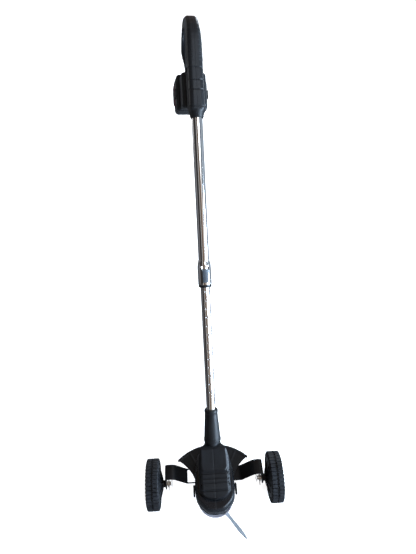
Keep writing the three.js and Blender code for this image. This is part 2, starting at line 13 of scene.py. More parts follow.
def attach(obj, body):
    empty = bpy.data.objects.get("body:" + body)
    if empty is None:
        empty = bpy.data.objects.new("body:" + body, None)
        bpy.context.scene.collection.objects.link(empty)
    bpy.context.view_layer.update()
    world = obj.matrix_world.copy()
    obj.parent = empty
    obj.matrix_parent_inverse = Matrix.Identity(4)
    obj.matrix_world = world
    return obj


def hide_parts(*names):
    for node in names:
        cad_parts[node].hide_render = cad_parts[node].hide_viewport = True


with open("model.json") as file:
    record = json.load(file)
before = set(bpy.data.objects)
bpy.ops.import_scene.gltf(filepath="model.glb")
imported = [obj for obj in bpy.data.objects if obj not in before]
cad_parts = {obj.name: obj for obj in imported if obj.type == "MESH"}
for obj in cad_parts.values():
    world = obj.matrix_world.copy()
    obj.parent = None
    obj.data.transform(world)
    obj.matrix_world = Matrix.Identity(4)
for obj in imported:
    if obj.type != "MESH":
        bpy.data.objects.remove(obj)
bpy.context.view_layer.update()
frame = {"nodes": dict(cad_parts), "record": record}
record = frame["record"]
SCENE = bpy.context.scene
BODY_OF = {n: b for b, names in record["behaviour"]["bodies"].items() for n in names}
SLOT_OF = {s["node"]: s["material_slot"] for s in record["subparts"]}

# ---- Frames. Each takes (x, up, along) or (x, y, z) in millimetres.

MM = 0.001
POLE_ANGLE = math.radians(49)
HANDLE_TURN = math.radians(8)
SPINDLE_TO_POLE = 18  # the pole's axis meets the cutter's plane this far behind the spindle
HANDLE_STATION = 900
AXLE = (39, 20)  # y and z of the wheels' axis
WHEEL_X = 150
WHEEL_R = 60

SIDEWAYS = Vector((1, 0, 0))
UP_POLE = Vector((0, math.cos(POLE_ANGLE), math.sin(POLE_ANGLE)))
FACING = Vector((0, -math.sin(POLE_ANGLE), math.cos(POLE_ANGLE)))


def local_frame(x, y, z, origin):
    m = Matrix((x, y, z)).transposed().to_4x4()
    return Matrix.Translation(Vector(origin) * MM) @ (m @ Matrix.Scale(MM, 4))


POLE_FOOT = Vector((0, SPINDLE_TO_POLE, 0))
POLE = local_frame(SIDEWAYS, FACING, UP_POLE, POLE_FOOT)
c, s = math.cos(HANDLE_TURN), math.sin(HANDLE_TURN)
GRIP_X = SIDEWAYS * c - FACING * s
GRIP_UP = SIDEWAYS * s + FACING * c
TURNED = local_frame(GRIP_X, GRIP_UP, UP_POLE, POLE_FOOT)
GRIP = local_frame(GRIP_X, GRIP_UP, UP_POLE, POLE_FOOT + UP_POLE * HANDLE_STATION)
ROW = Matrix.Scale(MM, 4)
HEAD = Matrix.Translation((0, SPINDLE_TO_POLE * MM, 0)) @ ROW


def wheel_frame(side):
    # Its third axis points outwards along the axle.
    origin = (0, AXLE[0], AXLE[1])
    return local_frame(Vector((0, side, 0)), Vector((0, 0, 1)), Vector((side, 0, 0)), origin)


# ---- Materials.


def node_tree(name):
    mat = bpy.data.materials.new(name)
    mat.use_nodes = True
    tree = mat.node_tree
    return mat, tree, tree.nodes["Principled BSDF"]


def add_node(tree, kind, **inputs):
    node = tree.nodes.new(kind)
    for key, value in inputs.items():
        node.inputs[key.replace("_", " ")].default_value = value
    return node


def spread(tree, source, low, high):
    node = tree.nodes.new("ShaderNodeMapRange")
    node.inputs["From Min"].default_value = 0.3
    node.inputs["From Max"].default_value = 0.7
    node.inputs["To Min"].default_value = low
    node.inputs["To Max"].default_value = high
    tree.links.new(source, node.inputs["Value"])
    return node.outputs["Result"]


def noise(tree, coords, scale, detail=4.0, stretch=None, rotation=None):
    if stretch:
        mapping = tree.nodes.new("ShaderNodeMapping")
        mapping.inputs["Scale"].default_value = stretch
        if rotation:
            mapping.inputs["Rotation"].default_value = rotation
        tree.links.new(coords, mapping.inputs["Vector"])
        coords = mapping.outputs["Vector"]
    node = add_node(tree, "ShaderNodeTexNoise", Scale=scale, Detail=detail)
    tree.links.new(coords, node.inputs["Vector"])
    return node.outputs["Fac"]


def mix(tree, factor, one, two):
    node = tree.nodes.new("ShaderNodeMix")
    node.data_type = "RGBA"
    tree.links.new(factor, node.inputs["Factor"])
    node.inputs[6].default_value = (*one, 1)
    node.inputs[7].default_value = (*two, 1)
    return node.outputs[2]


def surface(
    name,
    colour,
    worn,
    rough,
    metal=0.0,
    grain=(1500.0, 0.00006),
    patch=18.0,
    coat=0.0,
    coat_rough=0.1,
    specular=0.5,
    stretch=None,
    rotation=None,
):
    """Colour that drifts between two tones, roughness between two values, and a fine grain."""
    mat, tree, bsdf = node_tree(name)
    coords = tree.nodes.new("ShaderNodeTexCoord").outputs["Object"]
    broad = noise(tree, coords, patch, 6.0, stretch, rotation)
    fine = noise(tree, coords, grain[0], 2.0, stretch, rotation)
    drift = spread(tree, broad, 0.0, 1.0)
    tree.links.new(mix(tree, drift, colour, worn), bsdf.inputs["Base Color"])
    mixed = tree.nodes.new("ShaderNodeMath")
    mixed.operation = "ADD"
    tree.links.new(spread(tree, broad, rough[0], rough[1]), mixed.inputs[0])
    tree.links.new(spread(tree, fine, -0.03, 0.03), mixed.inputs[1])
    tree.links.new(mixed.outputs[0], bsdf.inputs["Roughness"])
    bump = add_node(tree, "ShaderNodeBump", Strength=0.6, Distance=grain[1])
    tree.links.new(fine, bump.inputs["Height"])
    tree.links.new(bump.outputs["Normal"], bsdf.inputs["Normal"])
    bsdf.inputs["Metallic"].default_value = metal
    bsdf.inputs["Specular IOR Level"].default_value = specular
    bsdf.inputs["Coat Weight"].default_value = coat
    bsdf.inputs["Coat Roughness"].default_value = coat_rough
    return mat


ALONG_POLE = (1.0, 1.0, 0.05)
POLE_TILT = (math.pi / 2 - POLE_ANGLE, 0.0, 0.0)
MATERIALS = {
    "shell": surface(
        "moulded_black",
        (0.0045, 0.005, 0.006),
        (0.008, 0.009, 0.011),
        (0.36, 0.48),
        specular=0.26,
    ),
    "gloss": surface(
        "gloss_black",
        (0.0045, 0.0055, 0.007),
        (0.007, 0.0085, 0.011),
        (0.22, 0.32),
        specular=0.42,
        coat=0.12,
        grain=(900.0, 0.00003),
    ),
    "grip": surface(
        "soft_black",
        (0.005, 0.0055, 0.0065),
        (0.009, 0.010, 0.012),
        (0.42, 0.58),
        specular=0.28,
        grain=(2200.0, 0.00009),
    ),
    "chrome": surface(
        "chrome_plate",
        (0.80, 0.78, 0.76),
        (0.70, 0.67, 0.64),
        (0.08, 0.16),
        metal=1.0,
        grain=(700.0, 0.00001),
        stretch=ALONG_POLE,
        rotation=POLE_TILT,
    ),
    "zinc": surface(
        "zinc_plate",
        (0.66, 0.62, 0.56),
        (0.50, 0.46, 0.41),
        (0.24, 0.38),
        metal=1.0,
        grain=(1400.0, 0.00004),
        patch=90.0,
    ),
    "paint": surface(
        "powder_coat",
        (0.003, 0.003, 0.0035),
        (0.005, 0.005, 0.006),
        (0.30, 0.42),
        specular=0.22,
        coat=0.05,
        grain=(1900.0, 0.00012),
    ),
    "tyre": surface(
        "tyre_rubber",
        (0.006, 0.0065, 0.008),
        (0.014, 0.015, 0.018),
        (0.55, 0.75),
        specular=0.25,
        grain=(1300.0, 0.00016),
        patch=60.0,
    ),
    "steel": surface(
        "dull_steel", (0.42, 0.43, 0.45), (0.32, 0.33, 0.35), (0.3, 0.45), metal=1.0
    ),
    "accent": surface(
        "dark_red", (0.16, 0.014, 0.022), (0.10, 0.010, 0.016), (0.28, 0.4), coat=0.2
    ),
    "blade": surface(
        "grey_nylon", (0.20, 0.225, 0.245), (0.30, 0.33, 0.35), (0.32, 0.5), patch=70.0
    ),
    "disc": surface("pale_nylon", (0.40, 0.39, 0.43), (0.31, 0.30, 0.34), (0.4, 0.55)),
    "brass": surface(
        "stamped_brass", (0.65, 0.47, 0.20), (0.52, 0.36, 0.15), (0.2, 0.35), metal=1.0
    ),
    "slate": surface("slate_button", (0.045, 0.055, 0.068), (0.065, 0.078, 0.095), (0.3, 0.42)),
}
for node, obj in frame["nodes"].items():
    obj.data.materials.clear()
    obj.data.materials.append(MATERIALS[SLOT_OF[node]])

# ---- Mesh tools.


def mesh_object(name, verts, faces, where, smooth=40):
    mesh = bpy.data.meshes.new(name)
    mesh.from_pydata([tuple(where @ Vector(v)) for v in verts], [], faces)
    bm = bmesh.new()
    bm.from_mesh(mesh)
    bmesh.ops.remove_doubles(bm, verts=bm.verts, dist=1e-6)
    bmesh.ops.recalc_face_normals(bm, faces=bm.faces)
    bm.to_mesh(mesh)
    bm.free()
    return linked(name, mesh, smooth)


def linked(name, mesh, smooth):
    obj = bpy.data.objects.new(name, mesh)
    SCENE.collection.objects.link(obj)
    mesh.polygons.foreach_set("use_smooth", [True] * len(mesh.polygons))
    mesh.set_sharp_from_angle(angle=math.radians(smooth))
    return obj


def skin(rings, loop=False, caps=True):
    """Faces between rings of the same number of points; a ring of one point is a tip."""
    verts = [p for ring in rings for p in ring]
    starts = np.cumsum([0] + [len(r) for r in rings])
    faces = []
    count = len(rings)
    for i in range(count if loop else count - 1):
        a, b = starts[i], starts[(i + 1) % count]
        n, m = len(rings[i]), len(rings[(i + 1) % count])
        for k in range(max(n, m)):
            j = (k + 1) % max(n, m)
            if n == 1:
                faces.append((a, b + k, b + j))
            elif m == 1:
                faces.append((a + j, a + k, b))
            else:
                faces.append((a + k, a + j, b + j, b + k))
    if caps and not loop:
        for i in (0, count - 1):
            n = len(rings[i])
            if n > 2:
                faces.append([starts[i] + k for k in range(n)])
    return verts, faces


def circle(radius, height, sides, centre=(0, 0), start=0.0):
    if radius < 1e-6:
        return [(centre[0], centre[1], height)]
    step = 2 * math.pi / sides
    return [
        (
            centre[0] + radius * math.cos(start + k * step),
            centre[1] + radius * math.sin(start + k * step),
            height,
        )
        for k in range(sides)
    ]


def softly(profile, radius, steps=4):
    """The profile with its corners rounded, by radius or by a point's own third value."""
    out = []
    n = len(profile)
    for i, point in enumerate(profile):
        r = point[2] if len(point) > 2 else radius
        p = Vector(point[:2])
        a, b = Vector(profile[i - 1][:2]) - p, Vector(profile[(i + 1) % n][:2]) - p
        if r <= 0 or p.x < 1e-6:
            out.append(tuple(p))
            continue
        ra, rb = min(r, a.length * 0.45), min(r, b.length * 0.45)
        one, two = p + a.normalized() * ra, p + b.normalized() * rb
        for k in range(steps + 1):
            t = k / steps
            out.append(tuple(one * (1 - t) ** 2 + p * 2 * t * (1 - t) + two * t * t))
    return out


def lathe(name, profile, where, sides=96, centre=(0, 0), radius=0.5):
    """A closed profile of [radius, height] points turned about the frame's third axis."""
    points = softly(profile, radius)
    rings = [circle(r, h, sides, centre) for r, h in points]
    open_axis = profile[0][0] > 1e-6
    return mesh_object(name, *skin(rings, loop=open_axis), where)


def prism(name, outline, low, high, where, order="xyz"):
    """A polygon drawn in the first two axes of the order and extruded along the third."""
    place = {axis: i for i, axis in enumerate(order)}

    def put(a, b, depth):
        values = (a, b, depth)
        return tuple(values[place[axis]] for axis in "xyz")

    rings = [[put(a, b, depth) for a, b in outline] for depth in (low, high)]
    return mesh_object(name, *skin(rings), where, smooth=30)


def block(name, low, high, where):
    outline = [(low[0], low[1]), (high[0], low[1]), (high[0], high[1]), (low[0], high[1])]
    return prism(name, outline, low[2], high[2], where)


def evaluated(obj):
    bpy.context.view_layer.update()
    depsgraph = bpy.context.evaluated_depsgraph_get()
    mesh = bpy.data.meshes.new_from_object(obj.evaluated_get(depsgraph))
    obj.modifiers.clear()
    old = obj.data
    obj.data = mesh
    bpy.data.meshes.remove(old)
    return obj


def cut(obj, *cutters, operation="DIFFERENCE"):
    for cutter in cutters:
        mod = obj.modifiers.new("cut", "BOOLEAN")
        mod.operation = operation
        mod.solver = "EXACT"
        mod.object = cutter
    evaluated(obj)
    for cutter in cutters:
        bpy.data.objects.remove(cutter)
    obj.data.set_sharp_from_angle(angle=math.radians(35))
    return obj


def rounded(obj, width, segments=3, angle=35):
    mod = obj.modifiers.new("edges", "BEVEL")
    mod.width = width * MM
    mod.segments = segments
    mod.limit_method = "ANGLE"
    mod.angle_limit = math.radians(angle)
    evaluated(obj)
    obj.data.polygons.foreach_set("use_smooth", [True] * len(obj.data.polygons))
    obj.data.set_sharp_from_angle(angle=math.radians(50))
    return obj


def finish_piece(obj, body, material, slot, *nodes):
    obj.data.materials.clear()
    obj.data.materials.append(MATERIALS[material])
    if nodes:
        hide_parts(*nodes)
    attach(obj, body)
    return obj


def stand_in(obj, node, material=None):
    slot = SLOT_OF[node]
    return finish_piece(obj, BODY_OF[node], material or slot, slot, node)


def extra(obj, body, slot, material=None):
    return finish_piece(obj, body, material or slot, slot)


def moulded(node, voxel, passes, carve=None, where=ROW, material=None, extras=(), cuts=()):
    """The CAD node again with its edges eased, and its surface shaped by carve, which takes
    points and normals in the frame and returns how far each point moves outwards."""
    mesh = frame["nodes"][node].data.copy()
    bm = bmesh.new()
    bm.from_mesh(mesh)
    bmesh.ops.remove_doubles(bm, verts=bm.verts, dist=2e-6)
    bm.to_mesh(mesh)
    bm.free()
    obj = linked(f"{node}_form", mesh, 40)
    if cuts:
        cut(obj, *cuts)
    for other in extras:
        bm = bmesh.new()
        bm.from_mesh(obj.data)
        bm.from_mesh(other.data)
        bm.to_mesh(obj.data)
        bm.free()
        bpy.data.objects.remove(other)
    mod = obj.modifiers.new("even", "REMESH")
    mod.mode = "VOXEL"
    mod.voxel_size = voxel * MM
    if passes:
        ease = obj.modifiers.new("ease", "SMOOTH")
        ease.factor = 0.5
        ease.iterations = passes
    evaluated(obj)
    if carve:
        shape(obj, carve, where)
    obj.data.polygons.foreach_set("use_smooth", [True] * len(obj.data.polygons))
    return stand_in(obj, node, material)


def shape(obj, carve, where):
    mesh = obj.data
    count = len(mesh.vertices)
    co = np.empty(count * 3)
    mesh.vertices.foreach_get("co", co)
    normal = np.empty(count * 3)
    mesh.vertices.foreach_get("normal", normal)
    co, normal = co.reshape(-1, 3), normal.reshape(-1, 3)
    back = np.array(where.inverted())
    local = co @ back[:3, :3].T + back[:3, 3]
    facing = normal @ back[:3, :3].T * MM
    out = carve(local, facing) * MM
    mesh.vertices.foreach_set("co", (co + normal * out[:, None]).ravel())
    mesh.update()


def band(values, centre, half, soft=0.5):
    """1 within half of centre, falling to 0 over soft."""
    return np.clip((half + soft - np.abs(values - centre)) / soft, 0, 1)


def inside(x, y, polygon, soft=0.8):
    """1 inside a convex polygon wound anticlockwise, falling to 0 over soft at its edges."""
    depth = np.full(x.shape, 1e9)
    for (x0, y0), (x1, y1) in zip(polygon, polygon[1:] + polygon[:1]):
        length = math.hypot(x1 - x0, y1 - y0)
        depth = np.minimum(depth, ((x1 - x0) * (y - y0) - (y1 - y0) * (x - x0)) / length)
    return np.clip(depth / soft, 0, 1)


# ---- Pole.

OUTER_R, INNER_R, WALL = 12.7, 11.1, 1.0
SLEEVE_FOOT, SLEEVE_TOP = 519, 577
FIRST_DETENT, PITCH, DETENTS = 259, 20.3, 15
OUTER_TOP = 969
INNER_FOOT, INNER_TOP = 112.0, 663.0
NECK_SCREW_AT = 165


def outer_tube():
    foot, top = SLEEVE_FOOT + 4, OUTER_TOP
    profile = [(OUTER_R - WALL, foot), (OUTER_R, foot), (OUTER_R, top), (OUTER_R - WALL, top)]
    stand_in(lathe("outer_tube_form", profile, TURNED, 128, radius=0.3), "outer_tube")


def inner_tube():
    sides = 144
    stations = [INNER_FOOT]
    for i in range(DETENTS):
        middle = FIRST_DETENT + i * PITCH
        stations += [middle + k * 0.5 for k in range(-8, 9)]
    stations.append(INNER_TOP)
    rings = []
    for u in stations:
        ring = []
        nearest = min(abs(u - FIRST_DETENT - i * PITCH) for i in range(DETENTS))
        for k in range(sides):
            angle = 2 * math.pi * k / sides
            x, up = INNER_R * math.cos(angle), INNER_R * math.sin(angle)
            depth = 0.0
            if up > 0:
                depth = min(1.3, max(0.0, 1 - abs(x) / 2.9 - nearest / 3.3) * 2.6)
            scale = (INNER_R - depth) / INNER_R
            ring.append((x * scale, up * scale, u))
        rings.append(ring)
    bore = INNER_R - WALL - 1.4
    rings += [circle(bore, INNER_TOP, sides), circle(bore, INNER_FOOT, sides)]
    obj = mesh_object("inner_tube_form", *skin(rings, loop=True), POLE, smooth=50)
    stand_in(obj, "inner_tube")


def telescopic_lock():
    bore = OUTER_R + 0.3
    sleeve = [
        (bore, SLEEVE_FOOT),
        (15.6, SLEEVE_FOOT),
        (16.1, SLEEVE_FOOT + 2, 1.5),
        (16.1, SLEEVE_TOP - 13, 5),
        (13.7, SLEEVE_TOP - 3, 2),
        (13.6, SLEEVE_TOP),
        (bore, SLEEVE_TOP),
    ]
    obj = lathe("lock_sleeve_form", sleeve, TURNED, 128)
    window = [(-6.9, 524.5), (6.9, 524.5), (9.1, 563), (-9.1, 563)]
    cut(obj, prism("window", window, 5, 30, TURNED, order="xzy"))
    stand_in(obj, "lock_sleeve")

    cap = [(bore + 0.2, 500), (17.4, 500), (17.4, 570), (bore + 0.2, 570)]
    button = lathe("lock_button_form", cap, TURNED, 160, radius=0)
    outline = [(-6.2, 525.2), (6.2, 525.2), (8.4, 555.8), (-8.4, 555.8)]
    cut(button, prism("button", outline, 5, 30, TURNED, order="xzy"), operation="INTERSECT")
    grooves = [
        block(f"g{i}", (-9, 16.5, 531 + i * 4), (9, 30, 532.4 + i * 4), TURNED) for i in range(5)
    ]
    cut(button, *grooves)
    stand_in(rounded(button, 0.35, 2, 50), "lock_button", "slate")

    ring = [(11.4, 513), (14.6, 513), (15.4, 514, 1), (15.4, 518.7, 1), (11.4, 518.7)]
    stand_in(lathe("lock_ring_form", ring, TURNED, 128), "lock_ring")


def neck():
    foot, top, bore = 134.5, 214, 11.4
    profile = [
        (bore, foot - 25, 0),
        (17, foot - 25),
        (17, foot, 0),
        (20.4, foot, 0.6),
        (19.4, foot + 16, 8),
        (15.7, top - 9, 4),
        (16.6, top - 6.4, 1),
        (16.6, top - 1.5, 1.4),
        (15.4, top, 0.8),
        (bore, top),
    ]
    obj = lathe("neck_boot_form", profile, POLE, 128)
    ends = [circle(4, h, 32, (0, NECK_SCREW_AT)) for h in (-15.6, -30)]
    pocket = [[(x, h, u) for x, u, h in ring] for ring in ends]
    cut(obj, mesh_object("pocket", *skin(pocket), POLE))
    stand_in(obj, "neck_boot")
    ring = [(20.45, foot + 3), (20.95, foot + 3.6), (20.8, foot + 7), (20.1, foot + 7.6)]
    extra(lathe("neck_boot_rib", ring, POLE, 128), "head", "grip")


# ---- Screws: a domed head with a six-lobed socket.


def screw(node, head, tip, head_r, head_h, shank_r, where, at, axis):
    """Head and tip are heights on the axis, which is named in the frame's own letters."""
    sign = 1 if tip > head else -1
    sides = 36

    def ring(radius, height, lobes=0.0):
        points = []
        for k in range(sides):
            angle = 2 * math.pi * k / sides
            r = radius * (1 + lobes * math.cos(6 * angle))
            points.append((r * math.cos(angle), r * math.sin(angle), height))
        return points

    deep = head + sign * head_h * 0.6
    rings = [
        ring(0.34 * head_r, deep, 0.18),
        ring(0.38 * head_r, head + sign * 0.05, 0.18),
        ring(0.72 * head_r, head),
        ring(0.94 * head_r, head + sign * 0.12 * head_h),
        ring(head_r, head + sign * 0.4 * head_h),
        ring(head_r, head + sign * head_h),
        ring(shank_r, head + sign * head_h),
        ring(shank_r, tip - sign * 0.8),
        ring(shank_r * 0.5, tip),
    ]
    order = {"x": (2, 0, 1), "y": (0, 2, 1), "z": (0, 1, 2)}[axis]
    rings = [[tuple(p[i] + at[k] for k, i in enumerate(order)) for p in r] for r in rings]
    stand_in(mesh_object(f"{node}_form", *skin(rings), where), node)


def screws():
    for i, (w, h) in enumerate([(90, 4), (42, -34), (220, -18), (212, -88)]):
        screw(f"handle_screw_{i + 1}", 15.6, -11, 3, 2.3, 1.3, GRIP, (0, h, w), "x")
    for i, x in enumerate((-26, 26)):
        screw(f"guard_screw_{i + 1}", 15.4, 58, 3.6, 2.3, 1.6, HEAD, (x, 74, 0), "z")
    for i, x in enumerate((-33, 33)):
        screw(f"cover_screw_{i + 1}", 21.6, 60, 3.3, 2.6, 1.6, HEAD, (x, -6, 0), "z")
    for i, (x, y) in enumerate([(-30, 28), (30, 28), (-30, 46), (30, 46)]):
        screw(f"bracket_screw_{i + 1}", 11.8, 36, 4, 2.6, 1.9, HEAD, (x, y, 0), "z")
    screw("neck_screw", -18, -8, 3.6, 2.1, 1.9, POLE, (0, 0, NECK_SCREW_AT), "y")


# ---- Handle and battery.


def handle_carve(p, n):
    x, h, w = p.T
    out = np.zeros(len(p))
    # The tail of the loop is rounder than the column.
    tail = np.clip((w - 150) / 80, 0, 1) ** 1.5
    out -= 5.0 * tail * np.clip(np.abs(n[:, 0]), 0, 1) * np.clip((np.abs(x) - 8) / 10, 0, 1)
    top = n[:, 1] > 0.2
    # Cross seams on the upper bar, where its cover plates meet.
    for station in (60, 81, 108):
        out -= 0.8 * band(w, station, 0.5) * top * (h > 0)
    # The soft grip: a raised sleeve round the upper bar with shallow cross ribs.
    bar = (h > -21) & (w > 120) & (w < 196)
    out += 0.5 * band(w, 158, 34, 1.2) * (h > -19) * bar
    ribs = 0.5 + 0.5 * np.cos(2 * math.pi * w / 5.0)
    ribbed_part = band(w, 158, 30, 2) * band(np.abs(x), 16, 9, 1) * bar
    out -= 0.7 * np.clip(ribs * 2 - 1.1, 0, 1) * ribbed_part
    # A rib down each flank of the column, and a groove round the collar's end.
    flank = np.abs(n[:, 0]) > 0.6
    out += 0.9 * band(h, -8, 1.6, 0.8) * flank * (w > 20) * (w < 104) * (np.abs(x) > 14)
    out -= 0.9 * band(w, 24, 0.9) * (np.abs(x) < 21) * (h > -21)
    # Seam of the tail loop's inner liner.
    out -= 0.5 * band(np.abs(x), 11, 0.5) * (w > 112) * (h < 8)
    return out


def battery_carve(p, n):
    x, h, w = p.T
    out = np.zeros(len(p))
    body = h < -58
    side = np.abs(n[:, 1]) < 0.5
    out -= 1.1 * band(h, -74, 0.8) * side * body
    out -= 0.8 * band(h, -103, 0.5) * side * body
    floor = n[:, 1] < -0.7
    ribs = 0.5 + 0.5 * np.cos(2 * math.pi * w / 8.0)
    out -= 1.2 * np.clip(ribs * 2 - 0.9, 0, 1) * floor * band(w, 72, 26, 1) * band(x, 0, 22, 1)
    end = (np.abs(n[:, 2]) > 0.6) & (h < -80)
    slots = np.clip(np.cos(2 * math.pi * x / 6.0) * 2 - 0.8, 0, 1)
    out -= slots * end * band(x, 0, 19, 1) * band(h, -88, 8, 1)
    return out


def welded(nodes, push):
    """The nodes' meshes as one, each moved along the grip's x so that a pair overlaps."""
    whole = bmesh.new()
    for node, sign in nodes:
        mesh = frame["nodes"][node].data.copy()
        mesh.transform(Matrix.Translation(GRIP_X * (-sign * push * MM)))
        whole.from_mesh(mesh)
        bpy.data.meshes.remove(mesh)
    bmesh.ops.remove_doubles(whole, verts=whole.verts, dist=2e-6)
    mesh = bpy.data.meshes.new("pair")
    whole.to_mesh(mesh)
    whole.free()
    return mesh


SEAM = 0.2  # half the gap between the two shells


def handle_shells():
    pair = (("handle_shell_left", -1), ("handle_shell_right", 1))
    obj = linked("pair", welded(pair, 0.4), 40)
    mod = obj.modifiers.new("even", "REMESH")
    mod.mode = "VOXEL"
    mod.voxel_size = 1.1 * MM
    ease = obj.modifiers.new("ease", "SMOOTH")
    ease.factor = 0.5
    ease.iterations = 12
    evaluated(obj)
    shape(obj, handle_carve, GRIP)
    for node, sign in pair:
        half = bmesh.new()
        half.from_mesh(obj.data)
        edge = POLE_FOOT * MM + GRIP_X * (sign * SEAM * MM)
        everything = half.verts[:] + half.edges[:] + half.faces[:]
        cut_at = bmesh.ops.bisect_plane(
            half, geom=everything, plane_co=edge, plane_no=GRIP_X * -sign, clear_outer=True
        )
        rim = [e for e in cut_at["geom_cut"] if isinstance(e, bmesh.types.BMEdge)]
        bmesh.ops.triangle_fill(half, use_beauty=True, edges=rim)
        bmesh.ops.recalc_face_normals(half, faces=half.faces)
        mesh = bpy.data.meshes.new(f"{node}_form")
        half.to_mesh(mesh)
        half.free()
        stand_in(linked(f"{node}_form", mesh, 40), node)
    bpy.data.objects.remove(obj)


def ribbed(axis, pitch, depth, facing, least):
    """A carve that cuts parallel grooves into the faces that look along one axis."""

    def carve(p, n):
        wave = np.cos(2 * math.pi * p[:, axis] / pitch) * 2 - 0.8
        return -depth * np.clip(wave, 0, 1) * (n[:, facing] * least[0] > least[1])

    return carve


def handle():
    handle_shells()
    for side, sign in (("left", -1), ("right", 1)):
        moulded(f"battery_latch_{side}", 0.5, 3, ribbed(2, 3.2, 0.45, 0, (sign, 0.7)), GRIP)
        moulded(f"battery_pad_{side}", 0.55, 4, material="shell")
        line = [(46, -76.4), (101, -76.4), (97, -77.9), (50, -77.9)]
        low, high = sorted((sign * 37.6, sign * 40.3))
        strip = prism(f"battery_line_{side}", line, low, high, GRIP, order="zyx")
        extra(strip, "battery", "accent")
    moulded("battery_case", 1.2, 4, battery_carve, GRIP)
    moulded("trigger", 0.7, 4, ribbed(2, 4.0, 0.5, 1, (-1, 0.4)), GRIP)
    moulded("lock_off_button", 0.5, 3, material="shell")
    moulded("switch", 0.8, 2)
    moulded("battery_contacts", 0.5, 1)
    moulded("tube_bush", 0.8, 2)


# ---- Head.

PANEL = [(-30.5, 66), (-33.5, 30), (-26, 20), (26, 20), (33.5, 30), (30.5, 66)]


def cover_carve(p, n):
    x, y, z = p.T
    out = np.zeros(len(p))
    above = (n[:, 2] > 0.15) & (z > 56)
    panel = inside(x, y, PANEL, 2.2)
    out += 1.4 * panel * above
    # The lower block below the panel and its three cross grooves.
    out -= 1.6 * band(y, 16.6, 1.2, 1.0) * above * (np.abs(x) < 37)
    out -= 1.0 * band(y, 5.5, 0.7, 0.8) * above * (np.abs(x) < 33)
    out -= 1.0 * band(y, -3, 0.7, 0.8) * above * (np.abs(x) < 33)
    out -= 1.8 * band(y, -19, 1.1, 1.0) * above * (np.abs(x) < 38)
    # The catch recess at the panel's right corner.
    out -= 2.6 * inside(x, y, [(29, 15), (39, 17), (35, 25)], 1.5) * above
    # Centre seam.
    out -= 0.45 * band(x, 0, 0.3, 0.9) * above
    # Cooling slots on both flanks.
    flank = (np.abs(n[:, 0]) > 0.6) & (z > 60) & (z < 88)
    slots = np.clip(np.cos(2 * math.pi * y / 8.0) * 2 - 0.6, 0, 1)
    out -= 2.0 * slots * flank * band(y, 38, 18, 1) * band(z, 72, 7, 1)
    return out


def housing_carve(p, n):
    x, y, z = p.T
    out = np.zeros(len(p))
    shown = (z > 24) & (n[:, 2] > -0.3)
    out -= 0.45 * band(x, 0, 0.3, 0.9) * shown * (y < -20)
    # A shelf line that follows the nose, and a bead round the foot.
    out += 0.9 * band(z, 23.5, 1.4, 0.8) * (np.abs(n[:, 2]) < 0.6)
    out -= 0.9 * band(z, 43, 0.6, 0.6) * (np.abs(n[:, 2]) < 0.75) * (y > -26)
    return out


def guard_carve(p, n):
    x, y = p[:, 0], p[:, 1] + SPINDLE_TO_POLE
    out = np.zeros(len(p))
    top = n[:, 2] > 0.7
    radius = np.hypot(x, y)
    angle = np.degrees(np.arctan2(y, x))
    out += 0.7 * band(radius, 126.5, 2.4, 1.4) * top
    for spoke in (62, 76, 104, 118):
        out += 0.6 * band((angle - spoke) * radius / 57.3, 0, 0.9, 1.5) * top * (radius < 125)
    return out


def clip_carve(p, n):
    return -0.6 * np.clip(np.cos(2 * math.pi * p[:, 1] / 5.0) * 2 - 0.8, 0, 1) * (
        np.abs(n[:, 0]) > 0.7
    )


def head():
    moulded("upper_cover", 0.85, 4, cover_carve, HEAD)
    moulded("lower_housing", 0.95, 14, housing_carve, HEAD, "gloss")
    moulded("guard", 0.9, 2, guard_carve, HEAD)
    moulded("wheel_bracket", 0.8, 4)
    for side in ("left", "right"):
        moulded(f"side_clip_{side}", 0.5, 3, clip_carve, HEAD)
        moulded(f"hairpin_{side}", 0.42, 5)
    moulded("blade", 0.5, 3)
    moulded("motor", 1.0, 2)


CUTTER_R = 43
BLADE_PIVOT_R = 35
BLADE_AT_REST = math.radians(-53.5)


def cutter():
    turn = Matrix.Rotation(BLADE_AT_REST, 4, "Z")
    pivot = (BLADE_PIVOT_R, 0)
    disc = [
        (4.3, 3.3),
        (11, 3.3),
        (11, 5),
        (CUTTER_R - 1, 5),
        (CUTTER_R, 6),
        (CUTTER_R, 9),
        (CUTTER_R - 2, 9),
        (CUTTER_R - 3, 8),
        (10, 8),
        (9, 9.6),
        (4.3, 9.6),
    ]
    obj = lathe("cutter_disc_form", disc, turn @ ROW, 128, radius=0.25)
    drill = [circle(2.7, 0, 32, pivot), circle(2.7, 12, 32, pivot)]
    cut(obj, mesh_object("drill", *skin(drill), turn @ ROW))
    stand_in(obj, "cutter_disc")
    pin = [
        (0, 0.3),
        (4.6, 0.3),
        (4.6, 1.7),
        (2.4, 1.7),
        (2.4, 8.3),
        (4.2, 8.3),
        (4.2, 9.6),
        (0, 9.6),
    ]
    stand_in(lathe("blade_pin_form", pin, turn @ ROW, 48, pivot, 0.3), "blade_pin")
    nut = mesh_object(
        "cutter_nut_form",
        *skin([circle(7.2, 0, 6), circle(8, 0.6, 6), circle(8, 3, 6), circle(4.2, 3, 6)]),
        ROW,
    )
    stand_in(nut, "cutter_nut")
    shaft = [(0, 3.3), (4, 3.3), (4, 42), (0, 42)]
    stand_in(lathe("motor_shaft_form", shaft, ROW, 48, radius=0.5), "motor_shaft")


# ---- Wheels.

LUGS = 40
TYRE_HALF = 16
TREAD_DEPTH = 3.6
SPOKES = 10
CLIP_X = 111.5  # where the hairpin crosses the axle
AXLE_END = 168.5


